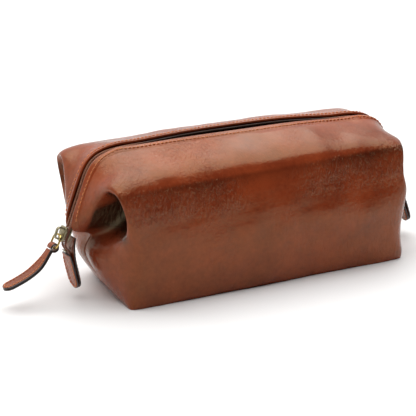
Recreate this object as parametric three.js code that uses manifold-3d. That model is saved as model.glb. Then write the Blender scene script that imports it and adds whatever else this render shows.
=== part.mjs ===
// Shaving kit bag: a soft leather wash bag with a zip along its roof and down both ends.
// Millimetres. X runs along the bag, Y from front to back, Z up; the origin is the centre of the base.
import * as THREE from 'three';
import { mergeVertices } from 'three/addons/utils/BufferGeometryUtils.js';
import Module from 'manifold-3d';

const wasm = await Module();
wasm.setup();

// ---- driving dimensions ----
const BASE_LENGTH = 270;        // along the front bottom edge
const BASE_DEPTH = 110;
const LIP_HEIGHT = 127.5;       // zip line above the table at the left end
const LEATHER = 1.8;            // wall leather
const WELD_DISTANCE = 1e-5;
const GAP = 0.3;                // air between pieces that touch
const BASE_THICKNESS = 1.8;
const BOARD_THICKNESS = 1.5;
const LINING_THICKNESS = 1.0;
const RIDGE_SAG = 8.5;          // how much lower the zip line lies at the right end
const CORNER_TUCK = 21;         // how far the back left bottom corner is pushed in

const SLOPE_ANGLE = THREE.MathUtils.degToRad(69);   // zip line on the left end, from the horizontal
const ZIP_DEPTH = 2.75;         // zip teeth centre below the leather's outer face
const LIP_HALF_GAP = 4.6;       // half the space between the lips on the slope
const TIP_ROW = 7;              // the net row where the lip starts, at the tip of the beak
const TOOTH_GAP = 1.0;          // half the space between the two rows on the slope
const TOOTH_WIDTH = 2.2;        // one row, across
const TOOTH_HEIGHT = 2.4;
const TAPE_THICKNESS = 0.7;
const TAPE_UNDER_LEATHER = 6;   // width of tape hidden behind the leather
const TAPE_SHOWN_SHORT = 1.0;   // the tape starts to bend down this far before the lip
const TAPE_LEAST = 0.2;         // width of each half of the tape's section where it is trimmed
const TAPE_STEP = 0.5;          // extra drop of the tape as it goes under the leather
const TAPE_COVER_MARKS = [5.2, 6.2];    // zip control points between which the leather comes to cover it
const TAPE_DIP = 0.35;          // how far the tape has dipped where it meets the lip
const TAPE_TILT = 0.42;         // fall of the tape behind the leather, mm per mm
const SLIDER_LENGTH = 13.5;
const RING_RADIUS = 5.8;        // to the middle of the wire
const RING_WIRE = 0.9;          // wire radius
const STRAP_WIDTH = 13;
const STRAP_THICKNESS = 3;
const TAB_WIDTH = 17;
const TAB_LEAF = 1.5;

// ---- materials ----
const material = (color, roughness, metalness = 0) =>
  new THREE.MeshStandardMaterial({ color, roughness, metalness });
const cognac = material(0x8a3d1c, 0.35);
const darkCognac = material(0x6e2c14, 0.4);
const board = material(0x8b7a5c, 0.8);
const lining = material(0x3b2a20, 0.9);
const tapeCloth = material(0x7a3b20, 0.85);
const zipCoil = material(0x6b3a1e, 0.5);
const oldBrass = material(0x7d7250, 0.35, 1);
const brightBrass = material(0xc9a53c, 0.25, 1);

// ---- the leather body: a cubic B-spline net over one long side ----
// Each profile climbs from the base to the zip lip at one place round the side, starting at the
// seam in the middle of the end and finishing at the middle of the front. The seam's profile
// leaves the end wall half way up and turns out over the beak, to carry the zip down the end.
const SEAM = [
  [-132.5, 0, 0], [-137, 0, 5.5], [-143.5, 0, 20], [-149, 0, 34], [-150, 0, 45], [-141, 0, 53],
  [-149, -2.6, 57], [-168, -4.6, 59.5], [-159.9, -4.6, 82.2], [-153.7, -4.6, 98.5],
  [-148.3, -4.6, 112.5], [-138.5, -4.6, 123.5], [-120, -4.6, 127.5]];
const BESIDE_SEAM = [
  [-133, -12, 0], [-138, -12, 5.5], [-145, -12, 19], [-151, -12, 33], [-152, -11, 45], [-137, -9, 53],
  [-140, -8, 60], [-163, -10, 63], [-158.5, -10, 83], [-151.5, -10, 99.5], [-145, -10, 113.5],
  [-135, -10, 123.5], [-118, -5, 127.5]];
const WING_RIM = [
  [-134, -26, 0], [-138.5, -26, 4.5], [-143, -26, 17.5], [-146.5, -25, 34], [-146, -23, 48],
  [-122, -18, 60], [-143, -17, 76.5], [-153, -20, 79], [-153.5, -22.5, 88], [-149, -24, 103],
  [-139, -22, 113], [-130, -17, 122], [-114, -5.2, 127.5]];
const HOLLOW = [
  [-135, -40, 0], [-138, -40, 4], [-139, -38.5, 18], [-140.5, -37, 36], [-143, -35, 51], [-126, -31, 65],
  [-101, -27, 86], [-136, -33, 101], [-149, -36.5, 102], [-149, -36, 109], [-134, -32, 114],
  [-125, -23, 121], [-109, -5.3, 127.4]];
const HOLLOW_FRONT = [
  [-136, -50, 0], [-137, -52, 4], [-136, -50, 20], [-136, -49, 39], [-141, -48, 56], [-139, -47, 68],
  [-106, -43, 82], [-124, -44, 97], [-147, -47.5, 100.5], [-147, -46.5, 108.5], [-129, -38, 114],
  [-120, -25, 120.5], [-104, -5.5, 127.2]];
const CORNER = [
  [-132, -56, 0], [-131, -58, 4], [-128, -58.5, 20], [-127, -58.5, 40], [-131, -60, 58], [-143, -61, 70],
  [-154, -61, 82], [-154, -60, 92], [-149, -56, 101], [-138, -49.5, 108], [-123, -40, 114],
  [-114, -25, 120.5], [-98, -5.6, 127]];
const FRONT_END = [
  [-112, -55, 0], [-112, -57, 5], [-112, -59, 21], [-112, -60.5, 40], [-113, -60.5, 56],
  [-114, -59.5, 68], [-115, -58, 82], [-115, -55.5, 94], [-115, -52, 104], [-113, -47, 111],
  [-108, -38, 116], [-102, -24, 121], [-86, -5.9, 127]];
const FRONT = [
  [-62, -54, 0], [-62, -57, 5], [-62, -60, 21], [-62, -62, 40], [-62, -62.5, 56], [-62, -61, 68],
  [-62, -58.8, 82], [-62, -56, 94], [-62, -52.5, 104], [-62, -47, 111], [-62, -38, 117], [-60, -24, 122],
  [-50, -7.8, 127.5]];
const FRONT_MIDDLE = [
  [0, -54, 0], [0, -57, 5], [0, -60.5, 21], [0, -62.5, 40], [0, -63, 56], [0, -61.5, 68], [0, -59.3, 82],
  [0, -56.5, 94], [0, -53, 104], [0, -47.5, 111], [0, -38, 117], [0, -25, 121.5], [0, -8.8, 126]];
const PROFILES = [SEAM, BESIDE_SEAM, WING_RIM, HOLLOW, HOLLOW_FRONT, CORNER, FRONT_END, FRONT, FRONT_MIDDLE];

const smooth = THREE.MathUtils.smoothstep;

// The profiles are drawn for a 270 x 110 x 127.5 bag and follow the driving dimensions.
function toSize([x, y, z]) {
  return new THREE.Vector3(x * BASE_LENGTH / 270, y * BASE_DEPTH / 110, z * LIP_HEIGHT / 127.5);
}

// The zip line sags towards the right end, and the right beak is pulled in and stands steeper.
function sagRightEnd(p) {
  const endward = smooth(p.x, 0, BASE_LENGTH * 0.48);
  const upper = smooth(p.z, 45, 95);
  const nearRidge = 1 - 0.45 * Math.min(Math.abs(p.y) / 50, 1);
  const drop = RIDGE_SAG * endward * (p.z / LIP_HEIGHT) ** 2 * nearRidge;
  const beyondBase = Math.max(p.x - BASE_LENGTH / 2, 0);
  const cornerIn = 5 * smooth(p.x, 100, 140) * smooth(Math.abs(p.y), 30, 55);
  return new THREE.Vector3(p.x - (0.3 * beyondBase + 2 * endward + cornerIn) * upper, p.y, p.z - drop);
}

// The soft back left bottom corner stands a little under the bag.
function tuckCorner(p) {
  const back = THREE.MathUtils.clamp(p.y / BASE_DEPTH + 0.5, 0, 1.1);
  const low = 1 - smooth(p.z, 0, 42);
  return new THREE.Vector3(p.x + CORNER_TUCK * smooth(-p.x, 40, 130) * back ** 1.5 * low, p.y, p.z);
}

// The back is fuller than the front: its shoulder is higher, and its left corner stands out.
function fillBack(p) {
  const leftEnd = smooth(-p.x, 95, 135);
  const rise = smooth(p.y, 8, 42) * smooth(p.z, 60, 105) * (4.5 + 4 * leftEnd);
  const out = leftEnd * smooth(p.y, 4, 26) * smooth(p.z, 55, 90) * 3.5 * (1 - smooth(p.z, 100, 115));
  return new THREE.Vector3(p.x - out, p.y, p.z + rise);
}

// Rows run from the base to the lip, columns from the left end seam round to the right one.
function bodyNet(side) {
  const rows = SEAM.map((_, row) => {
    const left = PROFILES.map((profile) => toSize(profile[row]));
    const right = left.slice(0, -1).reverse().map((p) => new THREE.Vector3(-p.x, p.y, p.z));
    return [...left, ...right];
  });
  return rows.map((row) => row.map((p) => {
    const sagged = sagRightEnd(p);
    return fillBack(tuckCorner(new THREE.Vector3(sagged.x, -side * sagged.y, sagged.z)));
  }));
}

// Uniform cubic B-spline with one extrapolated point past each end, so that it reaches both ends.
function splinePoint(points, at) {
  const last = points.length - 1;
  const span = Math.min(Math.floor(at), last - 1);
  const t = at - span;
  const pick = (i) => {
    if (i < 0) return points[0].clone().multiplyScalar(2).sub(points[1]);
    if (i > last) return points[last].clone().multiplyScalar(2).sub(points[last - 1]);
    return points[i];
  };
  const weights = [(1 - t) ** 3, 3 * t ** 3 - 6 * t ** 2 + 4, -3 * t ** 3 + 3 * t ** 2 + 3 * t + 1, t ** 3];
  const sum = points[0].clone().multiplyScalar(0);
  weights.forEach((weight, k) => sum.addScaledVector(pick(span - 1 + k), weight / 6));
  return sum;
}

function netPoint(net, column, row) {
  return splinePoint(net.map((points) => splinePoint(points, column)), row);
}

function netNormal(net, column, row, side) {
  const step = 0.02;
  const maxColumn = net[0].length - 1;
  const maxRow = net.length - 1;
  const along = netPoint(net, Math.min(column + step, maxColumn), row)
    .sub(netPoint(net, Math.max(column - step, 0), row));
  const up = netPoint(net, column, Math.min(row + step, maxRow))
    .sub(netPoint(net, column, Math.max(row - step, 0)));
  return along.cross(up).normalize().multiplyScalar(-side);
}

// ---- mesh helpers ----
function orientedGeometry(positions, indices) {
  const corner = (i) => new THREE.Vector3().fromArray(positions, 3 * i);
  let volume = 0;
  for (let i = 0; i < indices.length; i += 3) {
    volume += corner(indices[i]).dot(corner(indices[i + 1]).cross(corner(indices[i + 2])));
  }
  const geometry = new THREE.BufferGeometry();
  geometry.setAttribute('position', new THREE.Float32BufferAttribute(positions, 3));
  geometry.setIndex(volume < 0 ? indices.toReversed() : indices);
  geometry.computeVertexNormals();
  return geometry;
}

// A closed body between two grids of points with the same rows and columns.
function slab(outer, inner) {
  const rows = outer.length;
  const columns = outer[0].length;
  const positions = [...outer.flat(), ...inner.flat()].flatMap((p) => p.toArray());
  const indices = [];
  const at = (face, i, j) => face * rows * columns + i * columns + j;
  const quad = (a, b, c, d) => indices.push(a, b, c, a, c, d);
  for (let i = 0; i < rows - 1; i++) {
    for (let j = 0; j < columns - 1; j++) {
      quad(at(0, i, j), at(0, i, j + 1), at(0, i + 1, j + 1), at(0, i + 1, j));
      quad(at(1, i, j), at(1, i + 1, j), at(1, i + 1, j + 1), at(1, i, j + 1));
    }
    quad(at(0, i, 0), at(0, i + 1, 0), at(1, i + 1, 0), at(1, i, 0));
    quad(at(0, i, columns - 1), at(1, i, columns - 1), at(1, i + 1, columns - 1), at(0, i + 1, columns - 1));
  }
  for (let j = 0; j < columns - 1; j++) {
    quad(at(0, 0, j), at(1, 0, j), at(1, 0, j + 1), at(0, 0, j + 1));
    quad(at(0, rows - 1, j), at(0, rows - 1, j + 1), at(1, rows - 1, j + 1), at(1, rows - 1, j));
  }
  return orientedGeometry(positions, indices);
}

function toSolid(geometry) {
  const merged = bareCopy(geometry);
  return new wasm.Manifold(new wasm.Mesh({
    numProp: 3,
    vertProperties: new Float32Array(merged.attributes.position.array),
    triVerts: new Uint32Array(merged.index.array),
  }));
}

function fromSolid(solid) {
  const mesh = solid.getMesh();
  const geometry = new THREE.BufferGeometry();
  geometry.setAttribute('position', new THREE.BufferAttribute(new Float32Array(mesh.vertProperties), 3));
  geometry.setIndex(new THREE.BufferAttribute(new Uint32Array(mesh.triVerts), 1));
  geometry.computeVertexNormals();
  return geometry;
}

const bag = new THREE.Group();
function addPiece(name, geometry, pieceMaterial, parent = bag) {
  const mesh = new THREE.Mesh(geometry, pieceMaterial);
  mesh.name = name;
  parent.add(mesh);
  return mesh;
}

// ---- wall panels: front and back, each reaching round to the middle of both ends ----
function spread(last, coarseFrom, coarseTo) {
  const marks = [];
  for (let at = 0; at <= last; at += at >= coarseFrom && at < coarseTo ? 1 : 0.5) marks.push(at);
  return marks;
}
const COLUMN_MARKS = spread(16, 6, 10);
const ROW_MARKS = spread(12, 0, 4);

function wallPanel(side) {
  const net = bodyNet(side);
  const clearOf = (row) => (row < TIP_ROW ? GAP / 2 : LIP_HALF_GAP - 0.25);
  const grid = (depth) => ROW_MARKS.map((row) => COLUMN_MARKS.map((column) => {
    const p = netPoint(net, column, row).addScaledVector(netNormal(net, column, row, side), -depth);
    if (row === 0) p.setZ(0);
    return p.setY(side * Math.max(side * p.y, clearOf(row)));
  }));
  return { outer: grid(0), inner: grid(LEATHER) };
}
const front = wallPanel(-1);
const back = wallPanel(1);
addPiece('front_panel', slab(front.outer, front.inner), cognac);
addPiece('back_panel', slab(back.outer, back.inner), cognac);

// ---- base: leather panel and the stiffener that lies on it ----
// The leather's outline follows the foot of the wall panels' inner faces, just inside them.
function baseOutline(inset) {
  const foot = [...front.inner[0], ...back.inner[0].toReversed()];
  return new THREE.Shape(foot.map((p, i) => {
    const before = foot[(i + foot.length - 1) % foot.length];
    const after = foot[(i + 1) % foot.length];
    const inward = new THREE.Vector2(before.y - after.y, after.x - before.x).normalize();
    return new THREE.Vector2(p.x, p.y).addScaledVector(inward, inset);
  }));
}

function roundedRectangle(length, depth, radius) {
  const x = length / 2 - radius;
  const y = depth / 2 - radius;
  const shape = new THREE.Shape();
  shape.absarc(x, y, radius, 0, Math.PI / 2);
  shape.absarc(-x, y, radius, Math.PI / 2, Math.PI);
  shape.absarc(-x, -y, radius, Math.PI, Math.PI * 1.5);
  shape.absarc(x, -y, radius, Math.PI * 1.5, Math.PI * 2);
  return shape;
}

function basePlate(name, outline, bottom, thickness, plateMaterial) {
  const options = { depth: thickness, bevelEnabled: false, curveSegments: 5 };
  addPiece(name, new THREE.ExtrudeGeometry(outline, options), plateMaterial).position.z = bottom;
}
const BOARD_BOTTOM = BASE_THICKNESS + GAP;
basePlate('base_panel', baseOutline(0.5), 0, BASE_THICKNESS, cognac);
basePlate('base_board', roundedRectangle(212, 96, 8), BOARD_BOTTOM, BOARD_THICKNESS, board);

// ---- lining: a fabric pouch inside the leather, open along the mouth ----
// Each level is a rounded rectangle: height, half length, half depth.
const LINING_LEVELS = [
  [BOARD_BOTTOM + BOARD_THICKNESS + GAP, 96, 42], [8, 104, 48], [25, 110, 53], [60, 108, 55], [84, 106, 53],
  [98, 103, 49], [106, 100, 43], [110, 96, 34], [112, 90, 24], [113, 84, 16]];
const LINING_SIDES = 32;

function liningRing([height, halfLength, halfDepth], inset) {
  return Array.from({ length: LINING_SIDES }, (_, k) => {
    const angle = (2 * Math.PI * k) / LINING_SIDES;
    const round = (value) => Math.sign(value) * Math.abs(value) ** 0.45;
    const x = (halfLength - inset) * round(Math.cos(angle));
    const y = (halfDepth - inset) * round(Math.sin(angle));
    const sag = RIDGE_SAG * smooth(x, 0, BASE_LENGTH * 0.48) * (height / LIP_HEIGHT) ** 2;
    return new THREE.Vector3(x, y, height - sag);
  });
}

function liningPouch() {
  const outer = LINING_LEVELS.map((level) => liningRing(level, 0));
  const floor = [LINING_LEVELS[0][0] + LINING_THICKNESS, LINING_LEVELS[0][1], LINING_LEVELS[0][2]];
  const inner = [floor, ...LINING_LEVELS.slice(1)].map((level) => liningRing(level, LINING_THICKNESS));
  const rings = [...outer, ...inner.toReversed()];
  const indices = [];
  const at = (ring, k) => ring * LINING_SIDES + (k % LINING_SIDES);
  for (let ring = 0; ring < rings.length - 1; ring++) {
    for (let k = 0; k < LINING_SIDES; k++) {
      indices.push(at(ring, k), at(ring, k + 1), at(ring + 1, k + 1));
      indices.push(at(ring, k), at(ring + 1, k + 1), at(ring + 1, k));
    }
  }
  for (let k = 1; k < LINING_SIDES - 1; k++) {
    indices.push(at(0, 0), at(0, k + 1), at(0, k));
    indices.push(at(rings.length - 1, 0), at(rings.length - 1, k), at(rings.length - 1, k + 1));
  }
  return orientedGeometry(rings.flat().flatMap((p) => p.toArray()), indices);
}
addPiece('lining', liningPouch(), lining);

// ---- the zip line: a curve in the XZ plane at the height of the lip's outer face ----
const SLIDER_CENTRE = new THREE.Vector2(-166.6, 57);
const UP_SLOPE = new THREE.Vector2(Math.cos(SLOPE_ANGLE), Math.sin(SLOPE_ANGLE));
const OFF_SLOPE = new THREE.Vector2(-UP_SLOPE.y, UP_SLOPE.x);

// A point of the left end's zip, a distance up the slope from the slider's place at rest.
function onSlope(up, off = 0) {
  return SLIDER_CENTRE.clone().addScaledVector(UP_SLOPE, up).addScaledVector(OFF_SLOPE, off);
}
const SLOPE_STEPS = [-10, 0, 12, 24, 36, 48, 59];
const TAB_TOPS = { left: new THREE.Vector2(-165, 40.4), right: new THREE.Vector2(162.4, 43) };
const TAB_BOTTOMS = { left: new THREE.Vector2(-157.5, 9), right: new THREE.Vector2(173, 13) };

// A point on the middle plane of an end tab, a distance down from its top.
function onTab(end, down) {
  const direction = TAB_BOTTOMS[end].clone().sub(TAB_TOPS[end]).normalize();
  return TAB_TOPS[end].clone().addScaledVector(direction, down);
}
const TAIL_STEPS = [12, 4, -4];
const LEFT_TAIL = TAIL_STEPS.map((down) => onTab('left', down));
const RIGHT_TAIL = [new THREE.Vector2(161.3, 51.5),
  ...TAIL_STEPS.toReversed().map((down) => onTab('right', down))];
const LEFT_RIDGE = [[-136.8, 121], [-122, 124.4], [-104, 124.8], [-86, 124.3], [-50, 124.7]]
  .map(([x, z]) => new THREE.Vector2(x, z));
const RIDGE_TOP = new THREE.Vector2(0, 123.3);

function mirrorRight(p) {
  const sagged = sagRightEnd(new THREE.Vector3(-p.x, 0, p.y));
  return new THREE.Vector2(sagged.x, sagged.z);
}
const leftSlope = SLOPE_STEPS.map((up) => onSlope(up));
const rightSlope = leftSlope.slice(1).toReversed().map(mirrorRight);
const ZIP_POINTS = [...LEFT_TAIL, ...leftSlope, ...LEFT_RIDGE, RIDGE_TOP,
  ...LEFT_RIDGE.toReversed().map(mirrorRight), ...rightSlope, ...RIGHT_TAIL];
const LAST_ZIP = ZIP_POINTS.length - 1;

// Place, direction and outward direction of the zip at a position along its control points.
function zipFrame(at) {
  const step = 0.01;
  const place = splinePoint(ZIP_POINTS, at);
  const ahead = splinePoint(ZIP_POINTS, Math.min(at + step, LAST_ZIP));
  const behind = splinePoint(ZIP_POINTS, Math.max(at - step, 0));
  const along = ahead.sub(behind).normalize();
  return { place, along, outward: new THREE.Vector2(-along.y, along.x) };
}

// Half the opening between the leather lips: straight sided on the slopes, a lens on the ridge.
const MOUTH_HALF_GAP = 8.6;
function lipHalfGap(x) {
  const lens = 1 - smooth(Math.abs(x), 30, 112);
  return LIP_HALF_GAP + (MOUTH_HALF_GAP - LIP_HALF_GAP) * lens;
}

// How far from the middle the teeth of one row begin.
function toothStart(x) {
  return TOOTH_GAP + (lipHalfGap(x) - LIP_HALF_GAP);
}

// A point beside the zip line: distance to one side and height above the teeth's middle plane.
function besideZip(frame, sideways, height) {
  const p = frame.place.clone().addScaledVector(frame.outward, height);
  return new THREE.Vector3(p.x, sideways, p.y);
}

function zipMarks(from, to) {
  const marks = [];
  for (let at = from; at < to; at += 0.5) marks.push(at);
  return [...marks, to];
}

// The section is a list of [sideways, height above, height below] for a mark along the zip.
function zipStrip(side, marks, section) {
  const rows = marks.map((at) => ({ frame: zipFrame(at), at }));
  const face = (pick) => rows.map(({ frame, at }) => section(frame, at)
    .map((point) => besideZip(frame, side * point[0], point[pick])));
  return slab(face(1), face(2));
}

function teethSection(frame) {
  const start = toothStart(frame.place.x);
  const half = TOOTH_HEIGHT / 2;
  return [[start, half, -half], [start + TOOTH_WIDTH, half, -half]];
}

// The tape starts beside the teeth and runs in behind the leather; at both tails it is trimmed
// to pass between the tips of the beak.
function tapeSection(frame, at) {
  const start = toothStart(frame.place.x) + TOOTH_WIDTH + GAP;
  const lip = Math.max(lipHalfGap(frame.place.x) - TAPE_SHOWN_SHORT, start + TAPE_LEAST);
  const [open, covered] = TAPE_COVER_MARKS;
  const cover = smooth(at, open, covered) * (1 - smooth(at, LAST_ZIP - covered, LAST_ZIP - open));
  const wide = Math.max(TAPE_UNDER_LEATHER * cover, TAPE_LEAST);
  const half = TAPE_THICKNESS / 2;
  const fall = TAPE_TILT * wide + TAPE_STEP * cover;
  const dip = TAPE_DIP * cover;
  return [[start, half, -half], [lip, half - dip, -half - dip],
    [lip + wide, half - dip - fall, -half - dip - fall]];
}

const TEETH_FROM = 2;
const TEETH_TO = LAST_ZIP - 2;
for (const [name, side] of [['front', -1], ['back', 1]]) {
  addPiece(`${name}_zip_teeth`, zipStrip(side, zipMarks(TEETH_FROM, TEETH_TO), teethSection), zipCoil);
  addPiece(`${name}_zip_tape`, zipStrip(side, zipMarks(0, LAST_ZIP), tapeSection), tapeCloth);
}

// ---- stops: small clamps over the teeth at both ends of the zip ----
function bareCopy(geometry) {
  const bare = geometry.clone();
  bare.deleteAttribute('normal');
  bare.deleteAttribute('uv');
  return mergeVertices(bare, WELD_DISTANCE);
}

const STOP_LENGTH = 2;
const STOP_THICKNESS = 0.8;
function stopClamp(name, at) {
  const frame = zipFrame(at);
  const low = TOOTH_HEIGHT / 2 + GAP;
  const half = TOOTH_GAP + TOOTH_WIDTH;
  const clamp = new THREE.BoxGeometry(2 * half, STOP_LENGTH, STOP_THICKNESS);
  const across = new THREE.Vector3(0, 1, 0);
  const outward = new THREE.Vector3(frame.outward.x, 0, frame.outward.y);
  const basis = new THREE.Matrix4().makeBasis(across, outward.clone().cross(across), outward);
  const centre = frame.place.clone().addScaledVector(frame.outward, low + STOP_THICKNESS / 2);
  addPiece(name, clamp.applyMatrix4(basis.setPosition(centre.x, 0, centre.y)), oldBrass);
}
stopClamp('zip_bottom_stop', TEETH_FROM + 0.15);
stopClamp('zip_top_stop', TEETH_TO - 0.15);

// ---- slider, bail, ring and strap ----
// Side views are drawn in the XZ plane and given their width along Y.
function sideView(points, width, holes = []) {
  const shape = new THREE.Shape(points);
  shape.holes = holes.map((hole) => new THREE.Path(hole));
  const geometry = new THREE.ExtrudeGeometry(shape, { depth: width, bevelEnabled: false, curveSegments: 6 });
  return geometry.translate(0, 0, -width / 2).rotateX(Math.PI / 2);
}

// A bar beside the slope: from and to along it, low and high off it, with its width.
function slopeBar(from, to, low, high, width) {
  const corners = [onSlope(from, low), onSlope(to, low), onSlope(to, high), onSlope(from, high)];
  return toSolid(sideView(corners, width));
}
const HALF_SLIDER = SLIDER_LENGTH / 2;
const CORE_BOTTOM = TOOTH_HEIGHT / 2 + GAP;
const PLATE_TOP = TOOTH_HEIGHT / 2 + 0.6;
const CAP_BOTTOM = ZIP_DEPTH + 0.6;
const CAP_TOP = CAP_BOTTOM + 1.2;
const sliderBody = slopeBar(-HALF_SLIDER, HALF_SLIDER, CAP_BOTTOM, CAP_TOP, 10.4)
  .add(slopeBar(-HALF_SLIDER + 0.8, HALF_SLIDER - 0.8, CORE_BOTTOM, CAP_BOTTOM + 0.1, 7.4))
  .add(slopeBar(1, HALF_SLIDER - 0.8, -PLATE_TOP - 0.1, CORE_BOTTOM + 0.1, 2 * (TOOTH_GAP - GAP)))
  .add(slopeBar(-HALF_SLIDER, HALF_SLIDER, -PLATE_TOP - 1.2, -PLATE_TOP, 6.6));
addPiece('zip_slider', fromSolid(sliderBody), oldBrass);

function arcPoints(centre, radius, from, to, steps) {
  return Array.from({ length: steps + 1 }, (_, k) => {
    const angle = THREE.MathUtils.degToRad(from + ((to - from) * k) / steps);
    return [centre[0] + radius * Math.cos(angle), centre[1] + radius * Math.sin(angle)];
  });
}
const BAIL_LENGTH = 11;
const BAIL_HEIGHT = 6;
const BAIL_BAR = 1.5;
function bailOutline(inset) {
  const half = BAIL_LENGTH / 2 - inset;
  const top = BAIL_HEIGHT - inset;
  const radius = 2.6 - inset;
  const low = inset > 0 ? 0.8 : 0;
  return [[-half, low], [half, low], ...arcPoints([half - radius, top - radius], radius, 0, 90, 4),
    ...arcPoints([-half + radius, top - radius], radius, 90, 180, 4)]
    .map(([up, off]) => onSlope(up, CAP_TOP + GAP + off));
}
addPiece('slider_bail', sideView(bailOutline(0), 3.2, [bailOutline(BAIL_BAR)]), oldBrass);

// The ring hangs in the bail on its upper bar and holds the strap on its lower bar.
const RING_PIVOT = onSlope(-1.2, CAP_TOP + GAP + 0.8 + RING_WIRE + 0.6);
const RING_DIRECTION = new THREE.Vector2(-0.45, -0.89).normalize();
const RING_LOWER = RING_PIVOT.clone().addScaledVector(RING_DIRECTION, 2 * RING_RADIUS);
const RING_CENTRE = RING_PIVOT.clone().lerp(RING_LOWER, 0.5);

// The ring is a rounded square of round wire: its bars lie along Y.
function ringPoint(angle) {
  const round = (value) => Math.sign(value) * Math.abs(value) ** 0.6;
  const p = RING_CENTRE.clone().addScaledVector(RING_DIRECTION, RING_RADIUS * round(Math.sin(angle)));
  return new THREE.Vector3(p.x, RING_RADIUS * round(Math.cos(angle)), p.y);
}

function closedWire(pointAt, steps, sides, radius) {
  const across = new THREE.Vector3(RING_DIRECTION.y, 0, -RING_DIRECTION.x);
  const positions = [];
  const indices = [];
  for (let i = 0; i < steps; i++) {
    const angle = (2 * Math.PI * (i + 0.5)) / steps;
    const centre = pointAt(angle);
    const along = pointAt(angle + 0.05).sub(pointAt(angle - 0.05)).normalize();
    const beside = along.clone().cross(across);
    for (let k = 0; k < sides; k++) {
      const turn = (2 * Math.PI * k) / sides;
      const p = centre.clone().addScaledVector(across, radius * Math.cos(turn))
        .addScaledVector(beside, radius * Math.sin(turn));
      positions.push(...p.toArray());
      const next = ((i + 1) % steps) * sides;
      const here = i * sides;
      const k2 = (k + 1) % sides;
      indices.push(here + k, here + k2, next + k2, here + k, next + k2, next + k);
    }
  }
  return orientedGeometry(positions, indices);
}
addPiece('pull_ring', closedWire(ringPoint, 28, 8, RING_WIRE), brightBrass);

// One strip of leather, folded round the ring's lower bar and sewn to itself.
const STRAP_LINE = new THREE.CatmullRomCurve3([[-3, -1.6], [-9.5, -10], [-17, -16.8], [-26.5, -21.8],
  [-36.5, -25.4], [-47, -28.6]].map(([x, z]) => new THREE.Vector3(RING_LOWER.x + x, 0, RING_LOWER.y + z)));
const STRAP_STEPS = 12;
function strapSide(offset) {
  return Array.from({ length: STRAP_STEPS + 1 }, (_, k) => {
    const p = STRAP_LINE.getPoint(k / STRAP_STEPS);
    const t = STRAP_LINE.getTangent(k / STRAP_STEPS);
    return new THREE.Vector2(p.x - t.z * offset, p.z + t.x * offset);
  });
}
const EYE_OUTER = 4.2;
const EYE_INNER = 2.4;
function circle(radius, steps) {
  return arcPoints([RING_LOWER.x, RING_LOWER.y], radius, 0, 360 - 360 / steps, steps - 1)
    .map(([x, z]) => new THREE.Vector2(x, z));
}
const strapProfile = [...strapSide(STRAP_THICKNESS / 2), ...strapSide(-STRAP_THICKNESS / 2).toReversed()];
const strapBand = toSolid(sideView(strapProfile, STRAP_WIDTH))
  .add(toSolid(sideView(circle(EYE_OUTER, 20), STRAP_WIDTH)))
  .subtract(toSolid(sideView(circle(EYE_INNER, 16), STRAP_WIDTH + 2)));
// Plan view: narrow at the ring, widening to the full width, with a round end.
const STRAP_END = STRAP_LINE.getPoint(1).x;
const strapPlan = new THREE.Shape([[RING_LOWER.x + 6, -3.9], [RING_LOWER.x + 6, 3.9], [RING_LOWER.x - 4, 4.2],
  [RING_LOWER.x - 20, STRAP_WIDTH / 2], ...arcPoints([STRAP_END + 6, 0], STRAP_WIDTH / 2, 90, 270, 10),
  [RING_LOWER.x - 20, -STRAP_WIDTH / 2], [RING_LOWER.x - 4, -4.2]].map(([x, y]) => new THREE.Vector2(x, y)));
const planSolid = toSolid(new THREE.ExtrudeGeometry(strapPlan, { depth: 80, bevelEnabled: false }));
addPiece('pull_strap', fromSolid(strapBand.intersect(planSolid)), cognac);

// ---- end tabs: two leather leaves sewn over each tail of the zip ----
// A leaf hangs from top to bottom in the XZ plane and is a rounded tongue seen from the end.
function tabLeaf(name, end, offset, leafMaterial, collar) {
  const length = TAB_TOPS[end].distanceTo(TAB_BOTTOMS[end]);
  const half = TAB_WIDTH / 2;
  const outline = [[-half + 1, 0], [-half, 8], ...arcPoints([0, length - half], half, 180, 0, 10), [half, 8],
    [half - 1, 0]];
  const tongue = new THREE.Shape(outline.map(([y, down]) => new THREE.Vector2(y, down)));
  const leaf = new THREE.ExtrudeGeometry(tongue, { depth: TAB_LEAF, bevelEnabled: false });
  const down = TAB_BOTTOMS[end].clone().sub(TAB_TOPS[end]).normalize();
  const outward = new THREE.Vector2(-down.y, down.x).multiplyScalar(Math.sign(TAB_TOPS[end].x));
  const basis = new THREE.Matrix4().makeBasis(new THREE.Vector3(0, 1, 0),
    new THREE.Vector3(down.x, 0, down.y), new THREE.Vector3(outward.x, 0, outward.y));
  const corner = TAB_TOPS[end].clone().addScaledVector(outward, offset);
  const placed = bareCopy(leaf.applyMatrix4(basis.setPosition(corner.x, 0, corner.y)));
  const flat = orientedGeometry([...placed.attributes.position.array], [...placed.index.array]);
  addPiece(name, collar ? fromSolid(toSolid(flat).add(collar)) : flat, leafMaterial);
}
const LEAF_OFFSET = TAPE_THICKNESS / 2 + GAP;
for (const end of ['left', 'right']) tabLeaf(`${end}_tab_outer`, end, LEAF_OFFSET, cognac);
tabLeaf('right_tab_inner', 'right', -LEAF_OFFSET - TAB_LEAF, darkCognac);
// The left inner leaf runs on upwards, behind the slider.
const collarLine = [[-163.5, 39.8], [-163.1, 45], [-162.3, 50.5], [-161, 54.6]];
const collarSide = (shift) => collarLine.map(([x, z]) => new THREE.Vector2(x + shift, z));
const collarProfile = [...collarSide(TAB_LEAF / 2), ...collarSide(-TAB_LEAF / 2).toReversed()];
tabLeaf('left_tab_inner', 'left', -LEAF_OFFSET - TAB_LEAF, darkCognac,
  toSolid(sideView(collarProfile, TAB_WIDTH - 2)));

export default bag;
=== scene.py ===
import math

import bmesh
import bpy
import numpy as np
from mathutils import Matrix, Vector
from mathutils.bvhtree import BVHTree
from mathutils.kdtree import KDTree


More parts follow.
